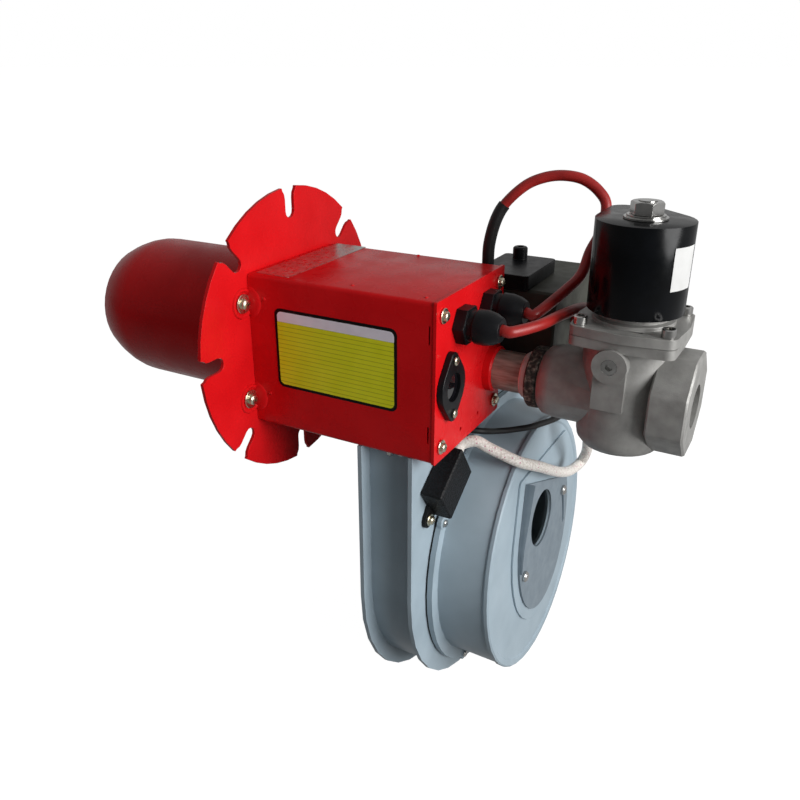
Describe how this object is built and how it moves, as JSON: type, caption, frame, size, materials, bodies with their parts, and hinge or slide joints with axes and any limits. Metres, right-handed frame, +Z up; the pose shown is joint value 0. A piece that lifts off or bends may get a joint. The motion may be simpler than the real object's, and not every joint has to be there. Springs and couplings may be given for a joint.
{
  "type": "industrial gas burner",
  "caption": "Forced-draught gas burner: slotted mounting flange, flame tube, sheet-metal housing, solenoid gas valve, ignition transformer and a round side blower with an air shutter.",
  "frame": {"origin": "centre of the mounting flange's front face, on the axis of the flame tube", "axes": "-X along the flame tube towards the flame, +X towards the gas valve, +Z up, +Y to the transformer's side"},
  "size_m": [0.4135, 0.2932, 0.4],
  "materials": {
    "red_paint": "gloss red paint on sheet steel",
    "grey_paint": "satin blue-grey paint on sheet steel",
    "cast_aluminium": "blasted casting",
    "zinc_yellow_steel": "yellow zinc plate",
    "bright_steel": "bright zinc or turned steel",
    "dark_iron": "rough black casting",
    "gloss_black_plastic": "moulded black",
    "dark_grey_plastic": "matt moulding",
    "black_rubber": "black",
    "red_silicone": "red silicone sheath",
    "white_sleeve": "braided sleeve",
    "white_tape": "thread seal tape",
    "white_ceramic": "glazed",
    "window_glass": "dark viewing glass"
  },
  "bodies": {
    "burner": {"burner_tube": "red_paint", "mounting_flange": "red_paint", "burner_housing": "red_paint", "rear_plate": "red_paint", "fan_back_housing": "grey_paint", "fan_front_housing": "grey_paint", "inlet_plate": "grey_paint", "valve_body": "cast_aluminium", "valve_bonnet": "cast_aluminium", "motor_stator": "cast_aluminium", "flange_screw_1": "zinc_yellow_steel", "flange_screw_2": "zinc_yellow_steel", "flange_screw_3": "zinc_yellow_steel", "flange_screw_4": "zinc_yellow_steel", "rear_plate_screw_1": "zinc_yellow_steel", "rear_plate_screw_2": "zinc_yellow_steel", "rear_plate_screw_3": "zinc_yellow_steel", "rear_plate_screw_4": "zinc_yellow_steel", "sight_window_screw_upper": "zinc_yellow_steel", "sight_window_screw_lower": "zinc_yellow_steel", "capacitor_screw": "zinc_yellow_steel", "gas_nipple": "bright_steel", "bonnet_bolt_1": "bright_steel", "bonnet_bolt_2": "bright_steel", "bonnet_bolt_3": "bright_steel", "bonnet_bolt_4": "bright_steel", "armature_tube": "bright_steel", "coil_washer": "bright_steel", "coil_nut": "bright_steel", "plunger_spring": "bright_steel", "valve_side_plug": "bright_steel", "gas_lance": "bright_steel", "gas_nozzle": "bright_steel", "diffuser_disc": "bright_steel", "igniter_rod": "bright_steel", "flame_sensor_rod": "bright_steel", "shutter_pivot_screw": "bright_steel", "shutter_clamp_screw": "bright_steel", "pipe_coupling": "dark_iron", "solenoid_coil": "gloss_black_plastic", "sight_window_frame": "gloss_black_plastic", "near_cable_gland": "gloss_black_plastic", "far_cable_gland": "gloss_black_plastic", "transformer_lid": "gloss_black_plastic", "run_capacitor": "gloss_black_plastic", "ignition_transformer": "dark_grey_plastic", "fan_joint_gasket": "black_rubber", "motor_lead": "black_rubber", "ignition_cable": "red_silicone", "sensor_cable": "red_silicone", "capacitor_lead": "white_sleeve", "thread_seal": "white_tape", "igniter_insulator": "white_ceramic", "flame_sensor_insulator": "white_ceramic", "sight_glass": "window_glass"},
    "impeller": {"fan_impeller": "dark_grey_plastic", "motor_rotor": "bright_steel", "motor_shaft": "bright_steel"},
    "air_shutter": {"air_shutter": "grey_paint"},
    "valve_plunger": {"valve_plunger": "bright_steel"}
  },
  "joints": [
    {"name": "impeller_spin", "type": "hinge", "parent": "burner", "child": "impeller", "pos_m": [0.1, 0.079, -0.15], "axis": [1, 0, 0], "continuous": true},
    {"name": "air_shutter_swing", "type": "hinge", "parent": "burner", "child": "air_shutter", "pos_m": [0.16753, 0.043, -0.18094], "axis": [0.999, 0, 0.0436], "range_deg": [0, 20]},
    {"name": "valve_plunger_lift", "type": "slide", "parent": "burner", "child": "valve_plunger", "axis": [0, 0, 1], "range_m": [0, 0.003], "stiffness_N_per_m": 600, "springref_m": -0.008, "deforming": ["plunger_spring"]}
  ]
}
